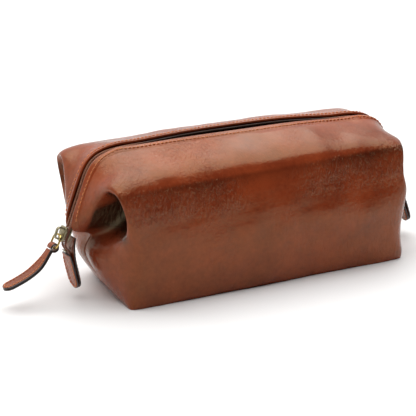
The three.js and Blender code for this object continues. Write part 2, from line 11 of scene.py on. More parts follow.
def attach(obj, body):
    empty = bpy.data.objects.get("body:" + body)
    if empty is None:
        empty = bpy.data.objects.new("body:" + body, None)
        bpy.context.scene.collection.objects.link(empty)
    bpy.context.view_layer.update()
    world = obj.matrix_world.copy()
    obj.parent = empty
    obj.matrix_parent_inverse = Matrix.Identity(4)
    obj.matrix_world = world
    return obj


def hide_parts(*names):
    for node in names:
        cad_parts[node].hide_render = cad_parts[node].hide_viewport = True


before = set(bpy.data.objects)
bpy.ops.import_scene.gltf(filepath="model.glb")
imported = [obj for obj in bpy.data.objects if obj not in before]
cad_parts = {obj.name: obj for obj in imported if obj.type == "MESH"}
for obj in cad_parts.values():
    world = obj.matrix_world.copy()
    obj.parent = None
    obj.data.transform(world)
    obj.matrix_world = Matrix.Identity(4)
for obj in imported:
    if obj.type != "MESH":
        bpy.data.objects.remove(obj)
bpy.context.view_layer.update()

# Shaving kit bag. Shapes are worked out in millimetres, as the CAD is, and made in metres.
MM = 0.001
scene = bpy.context.scene

# ---- camera: the photograph's viewing angle ----
VIEW_AZIMUTH = math.radians(-30.5)
VIEW_ELEVATION = math.radians(18.3)
VIEW_DISTANCE = 3.0
VIEW_TARGET = Vector((0, 0, 0.05))
SENSOR, LENS = 36, 302.084       # mm
LENS_SHIFT = (-0.071635, 0.006971)
camera_data = bpy.data.cameras.new("camera")
camera = bpy.data.objects.new("camera", camera_data)
scene.collection.objects.link(camera)
scene.camera = camera
toward_camera = Vector((math.sin(VIEW_AZIMUTH) * math.cos(VIEW_ELEVATION),
                        -math.cos(VIEW_AZIMUTH) * math.cos(VIEW_ELEVATION), math.sin(VIEW_ELEVATION)))
camera.location = VIEW_TARGET + toward_camera * VIEW_DISTANCE
camera.rotation_mode = "QUATERNION"
camera.rotation_quaternion = (-toward_camera).to_track_quat("-Z", "Y")
camera_data.sensor_width = SENSOR
camera_data.lens = LENS
camera_data.clip_end = 100
camera_data.shift_x, camera_data.shift_y = LENS_SHIFT

# ---- sizes shared with the CAD, mm ----
BASE_LENGTH, BASE_DEPTH, LIP_HEIGHT = 270, 110, 127.5
LEATHER = 1.8
BASE_THICKNESS = 1.8
GAP = 0.3
RIDGE_SAG = 8.5
CORNER_TUCK = 21
ZIP_DEPTH = 2.75
TOOTH_GAP, TOOTH_WIDTH, TOOTH_HEIGHT = 1.0, 2.2, 2.4
TAPE_THICKNESS, TAPE_UNDER_LEATHER, TAPE_DIP, TAPE_TILT, TAPE_STEP = 0.7, 6, 0.35, 0.42, 0.5
RING_RADIUS, RING_WIRE = 5.8, 0.9
STRAP_WIDTH, STRAP_THICKNESS = 13, 3
TAB_WIDTH, TAB_LEAF = 17, 1.5

# ---- shader helpers ----
def add_node(tree, kind, inputs=(), **settings):
    """A shader node; a number, colour or socket may feed any of its inputs."""
    made = tree.nodes.new("ShaderNode" + kind)
    for key, value in settings.items():
        setattr(made, key, value)
    for key, value in dict(inputs).items():
        feed(tree, made.inputs[key], value)
    return made


def feed(tree, socket, value):
    if isinstance(value, bpy.types.NodeSocket):
        tree.links.new(value, socket)
    else:
        socket.default_value = value


class Nodes:
    """A material's nodes, made and linked by short calls."""

    def __init__(self, name):
        self.material = bpy.data.materials.new(name)
        self.material.use_nodes = True
        self.tree = self.material.node_tree
        self.shader = self.tree.nodes["Principled BSDF"]
        self.place = self.tree.nodes.new("ShaderNodeTexCoord").outputs["Object"]

    def node(self, kind, inputs=(), **settings):
        return add_node(self.tree, kind, inputs, **settings)

    def math(self, operation, a, b=0.0, c=0.0):
        return self.node("Math", {0: a, 1: b, 2: c}, operation=operation).outputs[0]

    def scaled(self, factors):
        """The place on the piece, stretched by a factor along each axis."""
        return self.node("VectorMath", {0: self.place, 1: factors}, operation="MULTIPLY").outputs[0]

    def noise(self, scale, detail=3, roughness=0.5, distortion=0.0, place=None):
        return self.node("TexNoise", {"Vector": place or self.place, "Scale": scale, "Detail": detail,
                                      "Roughness": roughness, "Distortion": distortion}).outputs["Fac"]

    def pebbles(self, scale):
        return self.node("TexVoronoi", {"Vector": self.place, "Scale": scale},
                         feature="SMOOTH_F1").outputs["Distance"]

    def bands(self, scale, direction, distortion):
        return self.node("TexWave", {"Vector": self.place, "Scale": scale, "Distortion": distortion},
                         bands_direction=direction).outputs["Fac"]

    def along_axes(self):
        """Distances from the middle of the bag along each axis, in metres."""
        split = self.node("SeparateXYZ", {0: self.place})
        return [self.math("ABSOLUTE", split.outputs[k]) for k in range(3)]

    def fade(self, value, limits):
        """0 to 1 as the value goes from the first limit to the second."""
        return self.node("MapRange", {"Value": value, "From Min": limits[0], "From Max": limits[1]},
                         interpolation_type="SMOOTHSTEP").outputs["Result"]

    def product(self, first, *others):
        for other in others:
            first = self.math("MULTIPLY", first, other)
        return first

    def mouth(self, amount):
        """The strength of the painted shade along the gaping middle of the zip, 0 towards both ends."""
        return self.math("MULTIPLY", self.fade(self.along_axes()[0], MOUTH_ENDS), amount)

    def ramp(self, value, *stops):
        """Maps a value to a colour or a grey through (position, colour) stops."""
        made = self.node("ValToRGB", {"Fac": value})
        elements = made.color_ramp.elements
        while len(elements) < len(stops):
            elements.new(0.5)
        for element, (position, colour) in zip(elements, stops):
            element.position = position
            element.color = (colour,) * 3 + (1,) if isinstance(colour, (int, float)) else (*colour, 1)
        return made.outputs["Color"]

    def mix(self, factor, a, b, blend="MIX"):
        made = self.node("Mix", data_type="RGBA", blend_type=blend)
        for key, value in (("Factor_Float", factor), ("A_Color", a), ("B_Color", b)):
            socket = next(s for s in made.inputs if s.identifier == key)
            feed(self.tree, socket, value if not isinstance(value, tuple) else (*value, 1))
        return next(s for s in made.outputs if s.identifier == "Result_Color")

    def bump(self, height, strength, distance, normal=None):
        inputs = {"Height": height, "Strength": strength, "Distance": distance}
        if normal is not None:
            inputs["Normal"] = normal
        return self.node("Bump", inputs).outputs["Normal"]

    def finish(self, colour, roughness, normal, **constants):
        for key, value in (("Base Color", colour), ("Roughness", roughness), ("Normal", normal)):
            feed(self.tree, self.shader.inputs[key], value)
        for key, value in constants.items():
            self.shader.inputs[key.replace("_", " ")].default_value = value
        return self.material


# Places of looks on the bag, in metres from its middle: each look fades in from the first limit to the
# second. The MOUTH and FOLD limits place painted shade, the GATHER limits place bumps.
MOUTH_ENDS = (0.112, 0.080)
# where the painted shade of the folds lies
FOLD_ENDS, FOLD_SIDES = (0.1535, 0.149), (0.058, 0.048)
FOLD_FOOT, FOLD_RIM = (0.052, 0.066), (-0.001, 0.003)
FOLD_RIM_START, FOLD_RIM_SLOPE, FOLD_RIM_TOP = 0.0585, 1.2, 0.1025
GATHER_FOOT, GATHER_TOP = (0.066, 0.080), (0.108, 0.098)
GATHER_ENDS, GATHER_SIDES = (0.000, 0.060), (0.045, 0.054)
MOUTH_PAINTED_SHADE = (0.012, 0.006, 0.004)      # painted shade: the zip's tape and teeth are darkened where the mouth gapes
PAINTED_FOLD_SHADE = 0.16                # painted shade: the leather's tone inside the folds, as a share of its deep tone


def fold_painted_shade_mask(n):
    """Painted shade: 1 inside the deep folds of the ends, below the rim that rises towards the corners."""
    x, y, z = n.along_axes()
    rim = n.math("MINIMUM", n.math("MULTIPLY_ADD", y, FOLD_RIM_SLOPE, FOLD_RIM_START), FOLD_RIM_TOP)
    below_rim = n.fade(n.math("SUBTRACT", rim, z), FOLD_RIM)
    return n.product(n.fade(x, FOLD_ENDS), n.fade(y, FOLD_SIDES), below_rim, n.fade(z, FOLD_FOOT))


def shoulder_gathers(n):
    """Fine upright gathers on the shoulders of the long walls."""
    x, y, z = n.along_axes()
    gathers = n.noise(400, 3, 0.55, 0.5, place=n.scaled((1.0, 0.6, 0.38)))
    gathers = n.ramp(gathers, (0.42, 0.0), (0.60, 1.0))
    return n.product(gathers, n.fade(z, GATHER_FOOT), n.fade(z, GATHER_TOP), n.fade(x, GATHER_ENDS),
                     n.fade(y, GATHER_SIDES))


def leather_material(name, light, deep, creases=1.0, coat=0.12):
    n = Nodes(name)
    mottle = n.noise(22, 5, 0.6)
    fine = n.noise(260, 4, 0.6)
    tone = n.math("ADD", n.math("MULTIPLY", mottle, 0.75), n.math("MULTIPLY", fine, 0.25))
    colour = n.ramp(tone, (0.32, deep), (0.62, light))
    # painted shade: the leather is darkened inside the deep folds of the ends
    colour = n.mix(fold_painted_shade_mask(n), colour, tuple(channel * PAINTED_FOLD_SHADE for channel in deep))
    # grain: fine pebbles, and short creases that run across the length, in patches
    tangle = n.noise(95, 5, 0.6, 0.8, place=n.scaled((3.4, 3.4, 1.0)))
    cross = n.noise(120, 4, 0.6, 0.6, place=n.scaled((1.0, 1.0, 2.6)))
    patches = n.ramp(n.noise(13, 2, 0.5), (0.40, 0.12), (0.60, 1.0))
    crease = n.math("MULTIPLY", n.math("ADD", tangle, n.math("MULTIPLY", cross, 0.5)), patches)
    roughness = n.ramp(n.math("ADD", n.math("MULTIPLY", mottle, 0.5), n.math("MULTIPLY", fine, 0.5)),
                       (0.3, 0.17), (0.7, 0.28))
    normal = n.bump(n.pebbles(700), 0.45, 0.0002)
    normal = n.bump(crease, 0.75 * creases, 0.0014, normal)
    normal = n.bump(shoulder_gathers(n), 0.9 * creases, 0.0006, normal)
    return n.finish(colour, roughness, normal, Specular_IOR_Level=0.5, Specular_Tint=(1.0, 0.80, 0.40, 1),
                    Coat_Weight=coat, Coat_Roughness=0.08)


def edge_material():
    n = Nodes("edge_paint")
    layers = n.bands(2200, "Z", 2.0)
    colour = n.ramp(n.noise(300, 3), (0.3, (0.006, 0.004, 0.004)), (0.75, (0.03, 0.014, 0.009)))
    roughness = n.ramp(n.noise(420, 3), (0.3, 0.25), (0.7, 0.5))
    return n.finish(colour, roughness, n.bump(layers, 0.15, 0.0001), Coat_Weight=0.3)


def thread_material():
    n = Nodes("orange_thread")
    twist = n.bands(900, "DIAGONAL", 1.0)
    colour = n.mix(twist, (0.52, 0.13, 0.030), (0.86, 0.30, 0.085))
    roughness = n.ramp(n.noise(900, 2), (0.3, 0.55), (0.7, 0.75))
    return n.finish(colour, roughness, n.bump(twist, 0.5, 0.0002), Sheen_Weight=0.2)


def cloth_material(name, dark, light, threads, depth, mouth_shade=0.0):
    n = Nodes(name)
    diagonal = n.bands(threads, "DIAGONAL", 0.3)
    across = n.bands(threads * 1.3, "Z", 0.6)
    weave = n.math("MULTIPLY", diagonal, across)
    shade = n.math("ADD", n.math("MULTIPLY", weave, 0.6), n.math("MULTIPLY", n.noise(70, 4), 0.5))
    colour = n.ramp(shade, (0.2, dark), (0.8, light))
    # painted shade along the gaping middle of the zip
    colour = n.mix(n.mouth(mouth_shade), colour, MOUTH_PAINTED_SHADE)
    roughness = n.ramp(n.noise(500, 2), (0.3, 0.75), (0.7, 0.92))
    return n.finish(colour, roughness, n.bump(weave, 0.5, depth), Sheen_Weight=0.25)


def metal_material(name, tarnish, bright, rough_low, rough_high):
    n = Nodes(name)
    stains = n.noise(160, 5, 0.65, 0.4)
    scratches = n.noise(700, 4, 0.7, place=n.scaled((1.0, 6.0, 0.6)))
    colour = n.ramp(n.math("ADD", n.math("MULTIPLY", stains, 0.8), n.math("MULTIPLY", scratches, 0.2)),
                    (0.35, tarnish), (0.65, bright))
    roughness = n.ramp(scratches, (0.3, rough_low), (0.7, rough_high))
    return n.finish(colour, roughness, n.bump(scratches, 0.12, 0.0001), Metallic=1.0)


def teeth_material():
    n = Nodes("zip_teeth")
    shade = n.noise(500, 3)
    colour = n.ramp(shade, (0.3, (0.22, 0.070, 0.032)), (0.7, (0.44, 0.18, 0.095)))
    # painted shade along the gaping middle of the zip
    colour = n.mix(n.mouth(0.9), colour, MOUTH_PAINTED_SHADE)
    roughness = n.ramp(n.noise(800, 2), (0.3, 0.25), (0.7, 0.42))
    return n.finish(colour, roughness, n.bump(shade, 0.15, 0.0002), Coat_Weight=0.3)


def board_material():
    n = Nodes("pressed_board")
    fibres = n.noise(500, 5, 0.7, place=n.scaled((1.0, 4.0, 1.0)))
    colour = n.ramp(fibres, (0.3, (0.22, 0.16, 0.09)), (0.7, (0.34, 0.26, 0.16)))
    roughness = n.ramp(n.noise(90, 3), (0.3, 0.75), (0.7, 0.9))
    return n.finish(colour, roughness, n.bump(fibres, 0.3, 0.0002))


def floor_material():
    n = Nodes("pale_floor")
    shade = n.noise(3, 3)
    colour = n.ramp(shade, (0.3, 0.86), (0.7, 0.88))
    roughness = n.ramp(shade, (0.3, 0.62), (0.7, 0.7))
    return n.finish(colour, roughness, n.bump(n.noise(400, 2), 0.02, 0.0002), Specular_IOR_Level=0.2)


COGNAC = leather_material("cognac_leather", (0.285, 0.046, 0.013), (0.150, 0.020, 0.007))
INNER_LEATHER = leather_material("tab_back_leather", (0.20, 0.042, 0.015), (0.13, 0.024, 0.009), 0.6, 0.1)
EDGE = edge_material()
THREAD = thread_material()
LINING_CLOTH = cloth_material("lining_twill", (0.010, 0.006, 0.005), (0.055, 0.032, 0.022), 700, 0.0003)
# the tape gets painted shade along the zip's gaping middle
TAPE_CLOTH = cloth_material("zip_tape_weave", (0.13, 0.036, 0.016), (0.30, 0.10, 0.045), 1500, 0.0002, 0.9)
TEETH = teeth_material()
OLD_BRASS = metal_material("old_brass", (0.16, 0.135, 0.075), (0.47, 0.42, 0.28), 0.22, 0.42)
BRIGHT_BRASS = metal_material("bright_brass", (0.50, 0.33, 0.09), (0.83, 0.62, 0.22), 0.12, 0.26)


# ---- mesh helpers ----
def make_piece(name, points, faces, materials, body, slot, nodes=(), face_slots=None, smooth=True):
    """A piece from points in millimetres; its faces are turned outward, and it rides on a body."""
    mesh = bpy.data.meshes.new(name)
    mesh.from_pydata((np.asarray(points, float).reshape(-1, 3) * MM).tolist(), [], faces)
    for one in materials:
        mesh.materials.append(one)
    if face_slots is not None:
        mesh.polygons.foreach_set("material_index", face_slots)
    work = bmesh.new()
    work.from_mesh(mesh)
    bmesh.ops.recalc_face_normals(work, faces=work.faces)
    for face in work.faces:
        face.smooth = smooth
    work.to_mesh(mesh)
    work.free()
    piece = bpy.data.objects.new(name, mesh)
    scene.collection.objects.link(piece)
    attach(piece, body)
    if nodes:
        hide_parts(*nodes)
    return piece


def grid_faces(rows, columns, wrap=False, start=0):
    """Quads between neighbouring rows of points; wrap joins the last column to the first."""
    i, j = np.meshgrid(np.arange(rows - 1), np.arange(columns if wrap else columns - 1), indexing="ij")
    following = (j + 1) % columns
    quads = np.stack([i * columns + j, i * columns + following, (i + 1) * columns + following,
                      (i + 1) * columns + j], -1)
    return (quads.reshape(-1, 4) + start).tolist()


def tube(rings, closed=False, start=0):
    """Faces over rings of points, capped at both ends unless the rings close on themselves."""
    count, sides = len(rings), len(rings[0])
    faces = grid_faces(count, sides, wrap=True, start=start)
    if closed:
        last = start + (count - 1) * sides
        ahead = [(k + 1) % sides for k in range(sides)]
        faces += [[last + k, last + ahead[k], start + ahead[k], start + k] for k in range(sides)]
    else:
        faces.append([start + k for k in range(sides)][::-1])
        faces.append([start + (count - 1) * sides + k for k in range(sides)])
    return faces


class Batch:
    """Collects many small closed bodies into one piece."""

    def __init__(self):
        self.points, self.faces, self.count = [], [], 0

    def add(self, rings, closed=False):
        rings = np.asarray(rings, float)
        self.faces += tube(rings, closed, self.count)
        self.points.append(rings.reshape(-1, 3))
        self.count += rings.shape[0] * rings.shape[1]

    def piece(self, name, *arguments, **options):
        return make_piece(name, np.concatenate(self.points), self.faces, *arguments, **options)


def unit(v):
    return v / np.maximum(np.linalg.norm(v, axis=-1, keepdims=True), 1e-9)


def smooth_step(x, low, high):
    t = np.clip((np.asarray(x, float) - low) / (high - low), 0, 1)
    return t * t * (3 - 2 * t)


def waves(points, wavelength, seed, count=7):
    """A soft irregular field over points: a seeded sum of sines, about -1 to 1."""
    rng = np.random.default_rng(seed)
    total = np.zeros(points.shape[:-1])
    for _ in range(count):
        direction = unit(rng.normal(size=3))
        pitch = wavelength * rng.uniform(0.7, 1.5)
        total += np.sin(points @ direction * (2 * math.pi / pitch) + rng.uniform(0, 2 * math.pi))
    return total / math.sqrt(count)


def spline(points, at):
    """Uniform cubic B-spline over the first axis, with an extrapolated point past each end."""
    points = np.concatenate([2 * points[:1] - points[1:2], points, 2 * points[-1:] - points[-2:-1]])
    at = np.asarray(at, float)
    span = np.clip(np.floor(at).astype(int), 0, len(points) - 4)
    t = at - span
    weights = np.stack([(1 - t) ** 3, 3 * t ** 3 - 6 * t ** 2 + 4,
                        -3 * t ** 3 + 3 * t ** 2 + 3 * t + 1, t ** 3])
    tail = [1] * (points.ndim - 1)
    return sum(weights[k].reshape(-1, *tail) * points[span + k] for k in range(4)) / 6


def lengths_along(path):
    return np.concatenate([[0], np.cumsum(np.linalg.norm(np.diff(path, axis=0), axis=1))])


def interpolate(at, known, values):
    """Values at places between known ones, one column at a time."""
    return np.stack([np.interp(at, known, column) for column in values.T], 1)


def resample(path, spacing):
    """Points at even spacing along a polyline."""
    lengths = lengths_along(path)
    return interpolate(np.arange(0, lengths[-1], spacing), lengths, path)


def smoothed(values, window):
    """A moving average over the first axis, which keeps the number of values."""
    reach = len(window) // 2
    padded = np.pad(values, ((reach, reach), (0, 0)), mode="edge")
    return np.stack([np.convolve(column, window / window.sum(), mode="valid") for column in padded.T], 1)


def side_of(path):
    """Unit vectors square to a path in the XZ plane, on its left."""
    along = unit(np.gradient(path, axis=0))
    return np.stack([-along[:, 1], along[:, 0]], 1)


# ---- the leather body ----
# The same net as the CAD's: one side's profiles from the seam in the middle of the end to the
# middle of the front, each climbing from the base to the zip lip.
PROFILES = np.array([
    [(-132.5, 0, 0), (-137, 0, 5.5), (-143.5, 0, 20), (-149, 0, 34), (-150, 0, 45), (-141, 0, 53),
     (-149, -2.6, 57), (-168, -4.6, 59.5), (-159.9, -4.6, 82.2), (-153.7, -4.6, 98.5), (-148.3, -4.6, 112.5),
     (-138.5, -4.6, 123.5), (-120, -4.6, 127.5)],
    [(-133, -12, 0), (-138, -12, 5.5), (-145, -12, 19), (-151, -12, 33), (-152, -11, 45), (-137, -9, 53),
     (-140, -8, 60), (-163, -10, 63), (-158.5, -10, 83), (-151.5, -10, 99.5), (-145, -10, 113.5),
     (-135, -10, 123.5), (-118, -5, 127.5)],
    [(-134, -26, 0), (-138.5, -26, 4.5), (-143, -26, 17.5), (-146.5, -25, 34), (-146, -23, 48),
     (-122, -18, 60), (-143, -17, 76.5), (-153, -20, 79), (-153.5, -22.5, 88), (-149, -24, 103),
     (-139, -22, 113), (-130, -17, 122), (-114, -5.2, 127.5)],
    [(-135, -40, 0), (-138, -40, 4), (-139, -38.5, 18), (-140.5, -37, 36), (-143, -35, 51), (-126, -31, 65),
     (-101, -27, 86), (-136, -33, 101), (-149, -36.5, 102), (-149, -36, 109), (-134, -32, 114),
     (-125, -23, 121), (-109, -5.3, 127.4)],
    [(-136, -50, 0), (-137, -52, 4), (-136, -50, 20), (-136, -49, 39), (-141, -48, 56), (-139, -47, 68),
     (-106, -43, 82), (-124, -44, 97), (-147, -47.5, 100.5), (-147, -46.5, 108.5), (-129, -38, 114),
     (-120, -25, 120.5), (-104, -5.5, 127.2)],
    [(-132, -56, 0), (-131, -58, 4), (-128, -58.5, 20), (-127, -58.5, 40), (-131, -60, 58), (-143, -61, 70),
     (-154, -61, 82), (-154, -60, 92), (-149, -56, 101), (-138, -49.5, 108), (-123, -40, 114),
     (-114, -25, 120.5), (-98, -5.6, 127)],
    [(-112, -55, 0), (-112, -57, 5), (-112, -59, 21), (-112, -60.5, 40), (-113, -60.5, 56),
     (-114, -59.5, 68), (-115, -58, 82), (-115, -55.5, 94), (-115, -52, 104), (-113, -47, 111),
     (-108, -38, 116), (-102, -24, 121), (-86, -5.9, 127)],
    [(-62, -54, 0), (-62, -57, 5), (-62, -60, 21), (-62, -62, 40), (-62, -62.5, 56), (-62, -61, 68),
     (-62, -58.8, 82), (-62, -56, 94), (-62, -52.5, 104), (-62, -47, 111), (-62, -38, 117), (-60, -24, 122),
     (-50, -7.8, 127.5)],
    [(0, -54, 0), (0, -57, 5), (0, -60.5, 21), (0, -62.5, 40), (0, -63, 56), (0, -61.5, 68), (0, -59.3, 82),
     (0, -56.5, 94), (0, -53, 104), (0, -47.5, 111), (0, -38, 117), (0, -25, 121.5), (0, -8.8, 126)],
], float)


def sag_right_end(p):
    x, y, z = p[..., 0], p[..., 1], p[..., 2]
    endward = smooth_step(x, 0, BASE_LENGTH * 0.48)
    near_ridge = 1 - 0.45 * np.minimum(abs(y) / 50, 1)
    drop = RIDGE_SAG * endward * (z / LIP_HEIGHT) ** 2 * near_ridge
    corner_in = 5 * smooth_step(x, 100, 140) * smooth_step(abs(y), 30, 55)
    pulled = (0.3 * np.maximum(x - BASE_LENGTH / 2, 0) + 2 * endward + corner_in) * smooth_step(z, 45, 95)
    return np.stack([x - pulled, y, z - drop], -1)


def tuck_corner(p):
    x, y, z = p[..., 0], p[..., 1], p[..., 2]
    back = np.clip(y / BASE_DEPTH + 0.5, 0, 1.1)
    moved = CORNER_TUCK * smooth_step(-x, 40, 130) * back ** 1.5 * (1 - smooth_step(z, 0, 42))
    return np.stack([x + moved, y, z], -1)


def fill_back(p):
    """The back is fuller than the front: its shoulder is higher, and its left corner stands out."""
    x, y, z = p[..., 0], p[..., 1], p[..., 2]
    left_end = smooth_step(-x, 95, 135)
    rise = smooth_step(y, 8, 42) * smooth_step(z, 60, 105) * (4.5 + 4 * left_end)
    out = left_end * smooth_step(y, 4, 26) * smooth_step(z, 55, 90) * 3.5 * (1 - smooth_step(z, 100, 115))
    return np.stack([x - out, y, z + rise], -1)


def body_net(side):
    """Rows run from the base to the lip, columns from the left end seam round to the right one."""
    left = PROFILES.transpose(1, 0, 2)
    right = left[:, :-1][:, ::-1] * (-1, 1, 1)
    sagged = sag_right_end(np.concatenate([left, right], 1))
    return fill_back(tuck_corner(sagged * (1, -side, 1)))


def marks(steps):
    """Positions along the net, with a number of steps in each span."""
    spans = [k + np.arange(count) / count for k, count in enumerate(steps)]
    return np.concatenate([*spans, [len(steps)]])


COLUMNS = marks([20, 20, 12, 12, 12, 12, 22, 22, 22, 22, 12, 12, 12, 12, 20, 20])
LIP_STEPS = 40
ROWS = np.concatenate([marks([8] * 4 + [10] * 7)[:-1], 12 - np.linspace(1, 0, LIP_STEPS + 1) ** 1.5])
TIP_ROW = 7                     # the lip's lower end, at the tip of the beak
HEM_WIDTH, HEM_RISE = 6.6, 0.45
STITCH_INSET, GROOVE_WIDTH, GROOVE_DEPTH = 4.9, 0.5, 0.25
EDGE_ROUND = LEATHER / 2
# each soft wave's height, length, seed, and the seed's change with the side
SOFT_WAVES = [(0.8, 85, 11, 0), (0.34, 34, 5, 1), (0.08, 13, 17, -1)]
BELLY_LEVEL, WAIST_LEVEL, BELLY_DEPTH = 52, 84, 2.5


def distance_to(path, points, reach):
    """Distance from each point to a polyline, up to a reach."""
    dense = resample(path, 0.15)
    dense = np.concatenate([dense, path])
    tree = KDTree(len(dense))
    for k, p in enumerate(dense):
        tree.insert(p, k)
    tree.balance()
    flat = points.reshape(-1, 3)
    low, high = path.min(0) - reach, path.max(0) + reach
    near = np.all((flat > low) & (flat < high), axis=1)
    found = np.full(len(flat), float(reach))
    found[near] = [min(tree.find(p)[2], reach) for p in flat[near]]
    return found.reshape(points.shape[:-1])


def surface_normals(grid, side):
    return unit(np.cross(np.gradient(grid, axis=1), np.gradient(grid, axis=0))) * -side


def body_skin(side, rows):
    """The leather's outer face at the given rows of the net."""
    return spline(spline(body_net(side), rows).transpose(1, 0, 2), COLUMNS).transpose(1, 0, 2)


def wall_lift(skin, side, to_lip, to_seam):
    """How far the finished leather stands out from the net: hem, stitch groove, waves and belly."""
    along_lip = smooth_step(ROWS, TIP_ROW - 0.8, TIP_ROW)[:, None]
    hem = (1 - smooth_step(to_lip, HEM_WIDTH - 0.5, HEM_WIDTH + 0.5)) * along_lip
    groove = np.exp(-((to_lip - STITCH_INSET) / GROOVE_WIDTH) ** 2) * along_lip
    x, y, z = skin[..., 0], skin[..., 1], skin[..., 2]
    soft = sum(height * waves(skin, pitch, seed + seed_turn * side)
               for height, pitch, seed, seed_turn in SOFT_WAVES)
    belly = np.exp(-((z - BELLY_LEVEL) / 17) ** 2) - 0.45 * np.exp(-((z - WAIST_LEVEL) / 19) ** 2)
    soft = soft + BELLY_DEPTH * belly * smooth_step(x, -20, 90) * smooth_step(-y, 45, 58)
    free = smooth_step(to_lip, 5, 12) * smooth_step(to_seam, 0, 10)
    return HEM_RISE * hem - GROOVE_DEPTH * groove + soft * free


def sheet_faces(rows, columns):
    """Two grids of points, the second behind the first, joined round their border."""
    faces = grid_faces(rows, columns) + grid_faces(rows, columns, start=rows * columns)
    border = np.concatenate([np.arange(columns), np.arange(1, rows) * columns + columns - 1,
                             (rows - 1) * columns + np.arange(columns - 2, -1, -1),
                             np.arange(rows - 2, 0, -1) * columns])
    ahead = np.roll(border, -1)
    return faces + np.stack([border, ahead, ahead + rows * columns, border + rows * columns], 1).tolist()


def leather_side(name, node, side):
    """One wall panel; returns the piece and its lip line with the direction inward over the leather."""
    skin = body_skin(side, ROWS)
    normal = surface_normals(skin, side)
    tip = int(np.argmax(ROWS >= TIP_ROW))
    lip = np.concatenate([skin[tip:, 0], skin[-1, 1:-1], skin[tip:, -1][::-1]])
    inward = np.concatenate([skin[tip:, 2] - skin[tip:, 0], skin[-3, 1:-1] - skin[-1, 1:-1],
                             (skin[tip:, -3] - skin[tip:, -1])[::-1]])
    to_lip = distance_to(lip, skin, 12)
    seams = (skin[:tip + 1, 0], skin[:tip + 1, -1])
    to_seam = np.minimum(*(distance_to(seam, skin, 12) for seam in seams))
    edge = np.minimum(to_lip, to_seam)
    round_off = np.sqrt(np.clip(EDGE_ROUND ** 2 - np.clip(EDGE_ROUND - edge, 0, None) ** 2, 0.01, None))
    middle = skin - normal * EDGE_ROUND
    outer = middle + normal * (round_off + wall_lift(skin, side, to_lip, to_seam))[..., None]
    inner = middle - normal * round_off[..., None]
    for face in (outer, inner):
        face[..., 1] = side * np.maximum(side * face[..., 1], 0.05)
        face[..., 2] = np.maximum(face[..., 2], 0)
    outer[0, :, 2] = inner[0, :, 2] = 0
    piece = make_piece(name, np.stack([outer, inner]), sheet_faces(*outer.shape[:2]), [COGNAC], "bag",
                       "body_leather", [node])
    return piece, lip, unit(inward)


STITCH_PITCH, STITCH_LENGTH, THREAD_RADIUS = 3.8, 3.0, 0.42


def add_stitches(batch, path, up, pitch=STITCH_PITCH, length=STITCH_LENGTH, radius=THREAD_RADIUS):
    """Short stitches along a path on a surface; each dives in at both ends."""
    lengths = lengths_along(path)
    rise = np.array([-0.75, 0.1, 0.75, 0.95, 0.75, 0.1, -0.75]) * radius
    shares = np.array([0.0, 0.06, 0.25, 0.5, 0.75, 0.94, 1.0])
    turn = np.arange(8) * (2 * math.pi / 8)
    for begin in np.arange(pitch / 2, lengths[-1] - length, pitch):
        at = begin + shares * length
        centre = interpolate(at, lengths, path)
        out = unit(interpolate(at, lengths, up))
        along = unit(np.gradient(centre, axis=0))
        across = np.cross(along, out)
        centre = centre + out * rise[:, None]
        batch.add(centre[:, None] + radius * (np.cos(turn)[None, :, None] * across[:, None]
                                              + np.sin(turn)[None, :, None] * out[:, None]))


def lip_stitches(name, piece, lip, inward):
    """Stitches that follow the lip at an even distance from it, laid on the finished leather."""
    dense = resample(lip, 0.8)
    over = interpolate(np.arange(len(dense)) * 0.8, lengths_along(lip), inward)
    over = unit(smoothed(over, np.hanning(17)))
    mesh = piece.data
    tree = BVHTree.FromPolygons([v.co for v in mesh.vertices], [p.vertices for p in mesh.polygons])
    path, up = [], []
    for p, direction in zip(dense[4:-4], over[4:-4]):
        place, face_normal, _, _ = tree.find_nearest(Vector((p + direction * STITCH_INSET) * MM))
        path.append(np.array(place) / MM)
        up.append(np.array(face_normal))
    path, up = smoothed(np.array(path), np.ones(5)), np.array(up)
    batch = Batch()
    add_stitches(batch, path, unit(up))
    batch.piece(name, [THREAD], "bag", "body_leather")


SIDES = {"front": -1, "back": 1}
walls = {word: leather_side(f"{word}_leather", f"{word}_panel", side) for word, side in SIDES.items()}
for word, wall in walls.items():
    lip_stitches(f"{word}_lip_stitches", *wall)


# ---- base ----
# inset and height of the rings round the base's softened edge
BASE_EDGE = [(1.2, 0.0), (0.6, 0.0), (0.25, 0.12), (0.0, 0.55), (0.0, 1.25), (0.3, 1.65),
             (0.8, BASE_THICKNESS)]
BASE_CENTRE = np.array([2.0, 0.0])


def base_leather():
    """The bottom panel: a plate with a softened edge, inside the foot of the walls."""
    foot = []
    for side in SIDES.values():
        skin = body_skin(side, ROWS[:3])
        ring = skin[0] - surface_normals(skin, side)[0] * (LEATHER + GAP + 0.15)
        foot.append(ring[::2] if side < 0 else ring[::-2])
    outline = np.concatenate(foot)[:, :2]
    outline = np.stack([outline[:, 0], np.where(abs(outline[:, 1]) < 0.4, 0, outline[:, 1])], 1)
    size = np.linalg.norm(outline - BASE_CENTRE, axis=1, keepdims=True)
    direction = (outline - BASE_CENTRE) / size

    def ring_at(reach, height):
        return np.concatenate([BASE_CENTRE + direction * reach, np.full((len(outline), 1), height)], 1)

    shares = np.linspace(0.97, 0.05, 22)
    rings = [ring_at(size * share, 0.0) for share in shares[::-1]]
    rings += [ring_at(size - inset, height) for inset, height in BASE_EDGE]
    rings += [ring_at(size * share, BASE_THICKNESS) for share in shares]
    make_piece("base_leather", np.concatenate(rings), tube(rings), [COGNAC], "bag", "body_leather",
               ["base_panel"])


base_leather()
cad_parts["base_board"].data.materials.clear()
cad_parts["base_board"].data.materials.append(board_material())

